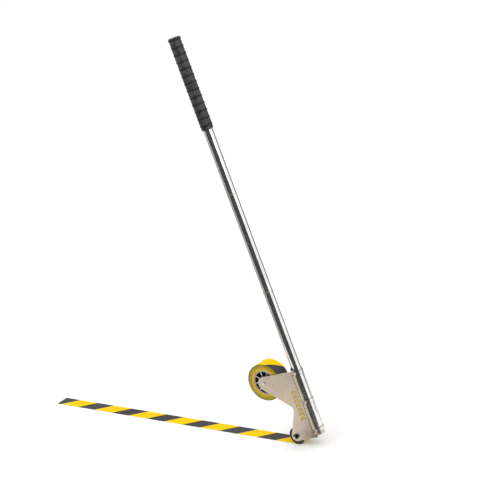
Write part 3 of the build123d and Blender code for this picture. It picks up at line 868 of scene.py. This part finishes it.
def grip_profile():
    """Up the outside from the mouth, over the flange to the axis, and back down the bore."""
    bottom, top = grip_low.z, grip_high.z
    flange = grip_radius + FLANGE_STEP
    pitch = (top - bottom - COLLAR - FLANGE_HEIGHT) / RIB_COUNT
    points = [(tube_radius, bottom), (grip_radius - MOUTH_ROUND, bottom), (grip_radius, bottom + MOUTH_ROUND)]
    for index in range(RIB_COUNT):
        height = bottom + COLLAR + RIB_HALF_WIDTH + index * pitch
        points += bead(height)
        if index < RIB_COUNT - 1:
            points.append((grip_radius + SWELL, height + pitch / 2))
    points += [(grip_radius, top - FLANGE_HEIGHT), (flange, top - FLANGE_HEIGHT + FLANGE_STEP)]
    crown = FLANGE_HEIGHT - 2 * FLANGE_STEP
    for index in range(RIB_POINTS + 1):
        turn = pi / 2 * index / RIB_POINTS
        points.append((flange - crown * (1 - cos(turn)), top - crown * (1 - sin(turn))))
    dimple_floor = top - MOUTH_ROUND
    points += [(DIMPLE_SHARE * flange, top), (DIMPLE_FLOOR_SHARE * flange, dimple_floor)]
    points += [(AXIS_GAP, dimple_floor), (AXIS_GAP, bore_top), (tube_radius, bore_top)]
    return points


grip_mesh = lathe("ribbed_grip", grip_profile(), GRIP_STEPS)
grip_mesh.transform(leaning @ Matrix.Translation((pole_offset, 0, 0)))
grip_finish = grip_rubber(grip_radius + SWELL, grip_radius + RIB_HEIGHT)
grip = make_object("ribbed_grip", grip_mesh, (grip_finish,), "pole_and_plates", "grip_rubber", "handle_grip")
print("grip", round(grip_high.z - grip_low.z, 3), "m long, radius", round(grip_radius, 4))

# %% [markdown]
# ## Marks on the plate
#
# The plate carries a printed mark beside the pole. Here it is a plain row of chevrons that point up the
# pole: golden film with a dark outline, laid on the plate like a decal. Each chevron is cut from a flat
# outline and given a real thickness, so that its edge catches light.

# %% Lay the chevrons
CHEVRON_COUNT = 7
CHEVRON_START, CHEVRON_END = 0.048, 0.134
CHEVRON_OFFSET = 0.0195
CHEVRON_HALF_WIDTH = 0.0082
CHEVRON_RISE = 0.0058
CHEVRON_THICKNESS = 0.0058
OUTLINE = 0.0012
FILM = 0.00012


def chevron(half_width, rise, thickness, bottom):
    """Six corners of a chevron that points up."""
    return [
        (-half_width, bottom), (0, bottom + rise), (half_width, bottom),
        (half_width, bottom + thickness), (0, bottom + rise + thickness), (-half_width, bottom + thickness),
    ]


def marking_film(name, bright, deep):
    material = start_finish(name, Specular_IOR_Level=0.5)
    place = object_place(material)
    wear = noise(material, place, 600, detail=5, rough=0.7)
    paint(material, "Base Color", fade(material, wear, (0.36, deep), (0.58, bright)))
    paint(material, "Roughness", spread(material, wear, 0.3, 0.55))
    emboss(material, wear, 0.00002)
    return material


def make_chevrons(name, finish, grow, lift):
    """A row of chevrons, each larger than the plain one by grow, standing lift above the plate."""
    plate_face = pole_box("front_side_plate")[0].y
    centre = pole_offset - CHEVRON_OFFSET
    pitch = (CHEVRON_END - CHEVRON_START) / (CHEVRON_COUNT - 1)
    shape = bmesh.new()
    for index in range(CHEVRON_COUNT):
        bottom = CHEVRON_START + index * pitch - grow
        corners = chevron(CHEVRON_HALF_WIDTH + grow, CHEVRON_RISE, CHEVRON_THICKNESS + 2 * grow, bottom)
        front = [leaning @ Vector((centre + x, plate_face - lift, z)) for x, z in corners]
        face = shape.faces.new([shape.verts.new(place) for place in front])
        solid = bmesh.ops.extrude_face_region(shape, geom=[face])["geom"]
        moved = [part for part in solid if isinstance(part, bmesh.types.BMVert)]
        bmesh.ops.translate(shape, verts=moved, vec=(0, lift, 0))
    bmesh.ops.recalc_face_normals(shape, faces=shape.faces)
    mesh = bpy.data.meshes.new(name)
    shape.to_mesh(mesh)
    shape.free()
    return make_object(name, mesh, (finish,), "pole_and_plates", "tape_film")


gold_film = marking_film("gold_marking_film", (0.60, 0.40, 0.02), (0.38, 0.25, 0.02))
dark_film = marking_film("dark_marking_film", (0.09, 0.07, 0.03), (0.04, 0.03, 0.02))
make_chevrons("chevron_outlines", dark_film, OUTLINE, FILM)
make_chevrons("chevrons", gold_film, 0.0, 2 * FILM)
print(CHEVRON_COUNT, "chevrons")

# %% [markdown]
# ## Finishes on the CAD pieces
#
# Everything else keeps the shape that it has in CAD. The table below pairs each finish with the pieces
# that wear it, as a finishing schedule does in a workshop. A piece that is left out would show up in the
# count at the end as having no finish.

# %% Finish the CAD pieces
schedule = [
    (plate_finish, ["front_side_plate", "rear_side_plate"]),
    (strap_finish, ["clamp_straps_outer", "clamp_straps_inner"]),
    (plug_finish, ["pole_end_plug"]),
    (tube_finish, ["pole_tube_lower", "pole_tube_middle", "pole_tube_upper"]),
    (ring_finish, ["pole_joint_socket_low", "pole_joint_socket_high"]),
    (ring_finish, ["pole_joint_stud_low", "pole_joint_stud_high"]),
    (zinc_finish, ["plate_spacer_screw", "clamp_screws", "clamp_nuts", "reel_axle_screw", "guide_pin_nut"]),
    (turned_reel, ["reel_axle", "reel_thrust_washer", "reel_disc_springs"]),
    (turned_guide, ["guide_roller_sleeve", "guide_pin", "guide_washers", "plate_spacer"]),
    (turned_press, ["roller_axle", "roller_spacers"]),
    (black_finish, ["roller_axle_nut", "reel_thumb_nut"]),
    (tyre_rubber(), ["roller_tyre"]),
    (core_finish, ["roller_core"]),
    (hub_finish, ["reel_hub"]),
    (card_finish, ["tape_core"]),
    (felt_finish, ["reel_friction_washer"]),
]
schedule += [(finish, [name]) for name, finish in bronze_finishes.items()]
finished = set()
for finish, names in schedule:
    for name in names:
        mesh = frame["nodes"][name].data
        mesh.materials.clear()
        mesh.materials.append(finish)
        finished.add(name)
unfinished = [name for name, made in frame["nodes"].items() if name not in finished and not made.hide_render]
print(len(finished), "nodes finished, left over:", unfinished)

# %% [markdown]
# ## Floor and light
#
# A catalogue picture stands on white with light from all sides, so the world is white and the floor is
# nearly so. Mirror-polished tube then has nothing dark to show, and looks like paper. A studio stands
# dark cards round it. Here the cards are parts of a cylinder that shares the pole's axis, so their
# reflections run straight up the tube, and only glossy rays see them. A card that is to show between two
# places across the tube stands where a ray from the camera goes after it bounces there. The lowest part
# of the tube reflects the floor instead, so two more cards lie there, just under the tape.

# %% Floor
FLOOR_SIZE = 60.0
FLOOR_DROP = 0.0003


def studio_floor():
    material = start_finish("studio_floor", Roughness=0.9)
    place = object_place(material)
    clouds = noise(material, place, 3, detail=3)
    white = fade(material, clouds, (0.3, (0.93, 0.93, 0.93)), (0.7, (0.95, 0.95, 0.95)))
    paint(material, "Base Color", white)
    return material


floor_mesh = bpy.data.meshes.new("studio_floor")
half = FLOOR_SIZE / 2
corners = [(-half, -half, 0), (half, -half, 0), (half, half, 0), (-half, half, 0)]
floor_mesh.from_pydata(corners, [], [(0, 1, 2, 3)])
floor_mesh.materials.append(studio_floor())
floor = bpy.data.objects.new("studio_floor", floor_mesh)
floor.location.z = -FLOOR_DROP
bpy.context.scene.collection.objects.link(floor)
print("floor", FLOOR_SIZE, "m square")

# %% Reflection cards
CARD_DISTANCE = 0.8
CARD_LOW, CARD_HIGH = -0.2, 1.5
CARD_STEP = radians(6)
FLOOR_CARD_INNER, FLOOR_CARD_OUTER = 0.08, 0.8
FLOOR_CARD_STEP = 6


def finish_card(name, vertices, count, brightness):
    """Joins pairs of places into a strip of paper that only glossy rays see."""
    mesh = bpy.data.meshes.new(name)
    faces = [(2 * index, 2 * index + 2, 2 * index + 3, 2 * index + 1) for index in range(count)]
    mesh.from_pydata(vertices, [], faces)
    material = start_finish(name + "_paper", Roughness=1.0)
    grain = noise(material, object_place(material), 40)
    shade = (brightness * 0.9,) * 3
    paint(material, "Base Color", fade(material, grain, (0.3, shade), (0.7, (brightness,) * 3)))
    mesh.materials.append(material)
    card = bpy.data.objects.new(name, mesh)
    bpy.context.scene.collection.objects.link(card)
    card.visible_camera = False
    card.visible_diffuse = False
    card.visible_shadow = False
    card.visible_transmission = False


def reflection_card(name, brightness, from_place, to_place):
    """A curved card that the tube reflects between two places, from -1 at its left edge to 1 at its right."""
    seen_from = leaning.to_3x3().inverted() @ towards_camera
    camera_turn = atan2(seen_from.y, seen_from.x)
    start = camera_turn + 2 * asin(from_place)
    end = camera_turn + 2 * asin(to_place)
    count = ceil((end - start) / CARD_STEP)
    vertices = []
    for index in range(count + 1):
        turn = start + (end - start) * index / count
        for height in (CARD_LOW, CARD_HIGH):
            place = Vector((pole_offset + CARD_DISTANCE * cos(turn), CARD_DISTANCE * sin(turn), height))
            vertices.append(leaning @ place)
    finish_card(name, vertices, count, brightness)


def floor_card(name, brightness, from_turn, to_turn):
    """Part of a ring on the floor round the pole's foot, between two turns from the -Y side."""
    count = ceil((to_turn - from_turn) / FLOOR_CARD_STEP)
    vertices = []
    for index in range(count + 1):
        turn = radians(from_turn + (to_turn - from_turn) * index / count)
        for reach in (FLOOR_CARD_INNER, FLOOR_CARD_OUTER):
            vertices.append((reach * sin(turn), -reach * cos(turn), -FLOOR_DROP / 3))
    finish_card(name, vertices, count, brightness)


reflection_card("dark_card_front", 0.06, -0.6, 0.25)
reflection_card("grey_card_left", 0.4, -0.98, -0.6)
reflection_card("grey_card_behind", 0.14, 0.8, 0.99)
floor_card("dark_card_floor", 0.06, -8, 66)
floor_card("grey_card_floor", 0.4, -142, -60)
print("cards stand", CARD_DISTANCE, "m from the pole")

# %% Lights
WORLD_STRENGTH = 1.08
KEY_PLACE, KEY_AIM, KEY_SIZE, KEY_POWER = (-1.6, -2.4, 3.0), (-0.1, 0, 0.3), 1.6, 20
FILL_PLACE, FILL_AIM, FILL_SIZE, FILL_POWER = (2.6, -1.2, 2.2), (-0.1, 0, 0.4), 2.0, 18


def soft_light(name, place, aim, size, power):
    data = bpy.data.lights.new(name, "AREA")
    data.shape = "DISK"
    data.size = size
    data.energy = power
    light = bpy.data.objects.new(name, data)
    bpy.context.scene.collection.objects.link(light)
    light.location = place
    light.rotation_mode = "QUATERNION"
    light.rotation_quaternion = (Vector(aim) - Vector(place)).to_track_quat("-Z", "Y")


world = bpy.data.worlds.new("white_studio")
world.use_nodes = True
world.node_tree.nodes["Background"].inputs["Color"].default_value = (1, 1, 1, 1)
world.node_tree.nodes["Background"].inputs["Strength"].default_value = WORLD_STRENGTH
bpy.context.scene.world = world
bpy.context.scene.view_settings.view_transform = "Standard"
soft_light("key_light", KEY_PLACE, KEY_AIM, KEY_SIZE, KEY_POWER)
soft_light("fill_light", FILL_PLACE, FILL_AIM, FILL_SIZE, FILL_POWER)
print("two soft lights in a white room")
